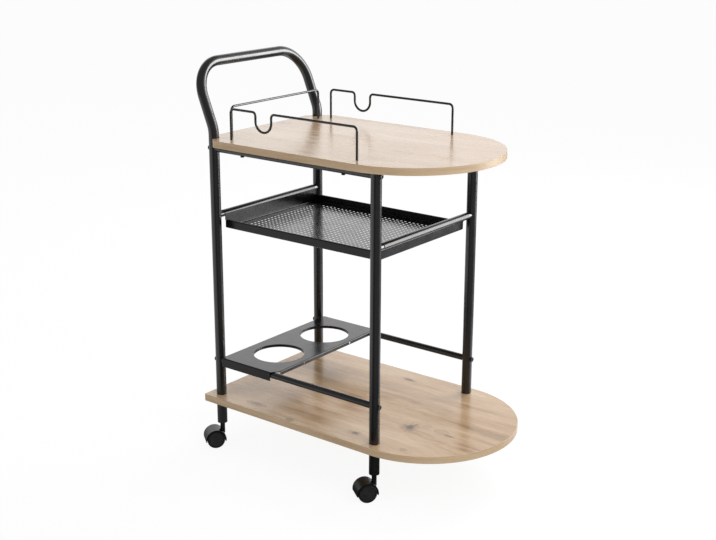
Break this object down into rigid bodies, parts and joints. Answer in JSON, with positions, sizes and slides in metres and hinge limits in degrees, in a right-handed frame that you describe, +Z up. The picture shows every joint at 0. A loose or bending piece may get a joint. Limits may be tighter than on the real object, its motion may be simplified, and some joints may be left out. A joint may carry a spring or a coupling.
{
  "type": "kitchen cart",
  "caption": "Kitchen serving cart with oak-look boards with half-round fronts, a black tube frame with push handle, wire guards, hung tray, bottle rack and swivel casters.",
  "frame": {"origin": "on the floor, under the middle of the overall length and width", "axes": "+X towards the half-round front, -X towards the push handle, +Y to the left side, +Z up"},
  "size_m": [0.6928, 0.4302, 0.863],
  "materials": {
    "oak_top": "satin light oak laminate, grain along the length",
    "oak_lower": "satin light oak laminate with knots, grain along the length",
    "oak_edge": "satin oak edge band",
    "black_tube": "semi-gloss black powder coat on steel tube, rail and wire",
    "black_sheet": "satin black powder coat on folded steel sheet",
    "black_bolt": "black oxide steel",
    "black_insert": "moulded black plastic",
    "zinc_steel": "bright zinc plated steel",
    "caster_hood": "satin black moulded plastic",
    "caster_wheel": "matte dark grey moulded plastic"
  },
  "bodies": {
    "frame": {"top_board": "oak_top", "top_board_band": "oak_edge", "lower_board": "oak_lower", "lower_board_band": "oak_edge", "rear_post_right": "black_tube", "rear_leg_right": "black_tube", "rear_post_left": "black_tube", "rear_leg_left": "black_tube", "front_post_right": "black_tube", "front_leg_right": "black_tube", "front_post_left": "black_tube", "front_leg_left": "black_tube", "post_foot_plugs": "black_insert", "leg_head_plugs": "black_insert", "board_studs": "zinc_steel", "post_caps": "black_insert", "handle": "black_tube", "handle_spigots": "zinc_steel", "top_rail_right": "black_tube", "lower_rail_right": "black_tube", "top_rail_left": "black_tube", "lower_rail_left": "black_tube", "tray_rail_rear": "black_tube", "tray_rail_front": "black_tube", "rail_inserts": "black_insert", "rail_bolts": "black_bolt", "board_screws": "black_bolt", "side_guard_right": "black_tube", "side_guard_left": "black_tube", "back_guard": "black_tube", "caster_sockets": "black_insert"},
    "tray": {"tray_pan": "black_sheet", "tray_floor": "black_sheet"},
    "rack": {"bottle_rack": "black_sheet"},
    "swivel_rear_right": {"caster_rear_right_housing": "caster_hood", "caster_rear_right_stem": "zinc_steel", "caster_rear_right_axle": "zinc_steel"},
    "wheel_rear_right_a": {"caster_rear_right_wheel_a": "caster_wheel"},
    "wheel_rear_right_b": {"caster_rear_right_wheel_b": "caster_wheel"},
    "swivel_rear_left": {"caster_rear_left_housing": "caster_hood", "caster_rear_left_stem": "zinc_steel", "caster_rear_left_axle": "zinc_steel"},
    "wheel_rear_left_a": {"caster_rear_left_wheel_a": "caster_wheel"},
    "wheel_rear_left_b": {"caster_rear_left_wheel_b": "caster_wheel"},
    "swivel_front_right": {"caster_front_right_housing": "caster_hood", "caster_front_right_stem": "zinc_steel", "caster_front_right_axle": "zinc_steel"},
    "wheel_front_right_a": {"caster_front_right_wheel_a": "caster_wheel"},
    "wheel_front_right_b": {"caster_front_right_wheel_b": "caster_wheel"},
    "swivel_front_left": {"caster_front_left_housing": "caster_hood", "caster_front_left_stem": "zinc_steel", "caster_front_left_axle": "zinc_steel"},
    "wheel_front_left_a": {"caster_front_left_wheel_a": "caster_wheel"},
    "wheel_front_left_b": {"caster_front_left_wheel_b": "caster_wheel"}
  },
  "joints": [
    {"name": "tray_lift", "type": "slide", "parent": "frame", "child": "tray", "axis": [0, 0, 1], "range_m": [0, 0.12]},
    {"name": "rack_slide", "type": "slide", "parent": "frame", "child": "rack", "axis": [1, 0, 0], "range_m": [0, 0.24]},
    {"name": "swivel_rear_right_turn", "type": "hinge", "parent": "frame", "child": "swivel_rear_right", "pos_m": [-0.28208, -0.171, 0.056], "axis": [0, 0, 1], "continuous": true},
    {"name": "wheel_rear_right_a_roll", "type": "hinge", "parent": "swivel_rear_right", "child": "wheel_rear_right_a", "pos_m": [-0.29292, -0.18538, 0.02], "axis": [0.7986, -0.6018, 0], "continuous": true},
    {"name": "wheel_rear_right_b_roll", "type": "hinge", "parent": "swivel_rear_right", "child": "wheel_rear_right_b", "pos_m": [-0.29292, -0.18538, 0.02], "axis": [0.7986, -0.6018, 0], "continuous": true},
    {"name": "swivel_rear_left_turn", "type": "hinge", "parent": "frame", "child": "swivel_rear_left", "pos_m": [-0.28208, 0.171, 0.056], "axis": [0, 0, 1], "continuous": true},
    {"name": "wheel_rear_left_a_roll", "type": "hinge", "parent": "swivel_rear_left", "child": "wheel_rear_left_a", "pos_m": [-0.29292, 0.18538, 0.02], "axis": [-0.7986, -0.6018, 0], "continuous": true},
    {"name": "wheel_rear_left_b_roll", "type": "hinge", "parent": "swivel_rear_left", "child": "wheel_rear_left_b", "pos_m": [-0.29292, 0.18538, 0.02], "axis": [-0.7986, -0.6018, 0], "continuous": true},
    {"name": "swivel_front_right_turn", "type": "hinge", "parent": "frame", "child": "swivel_front_right", "pos_m": [0.14392, -0.171, 0.056], "axis": [0, 0, 1], "continuous": true},
    {"name": "wheel_front_right_a_roll", "type": "hinge", "parent": "swivel_front_right", "child": "wheel_front_right_a", "pos_m": [0.13308, -0.18538, 0.02], "axis": [0.7986, -0.6018, 0], "continuous": true},
    {"name": "wheel_front_right_b_roll", "type": "hinge", "parent": "swivel_front_right", "child": "wheel_front_right_b", "pos_m": [0.13308, -0.18538, 0.02], "axis": [0.7986, -0.6018, 0], "continuous": true},
    {"name": "swivel_front_left_turn", "type": "hinge", "parent": "frame", "child": "swivel_front_left", "pos_m": [0.14392, 0.171, 0.056], "axis": [0, 0, 1], "continuous": true},
    {"name": "wheel_front_left_a_roll", "type": "hinge", "parent": "swivel_front_left", "child": "wheel_front_left_a", "pos_m": [0.13308, 0.18538, 0.02], "axis": [-0.7986, -0.6018, 0], "continuous": true},
    {"name": "wheel_front_left_b_roll", "type": "hinge", "parent": "swivel_front_left", "child": "wheel_front_left_b", "pos_m": [0.13308, 0.18538, 0.02], "axis": [-0.7986, -0.6018, 0], "continuous": true}
  ]
}
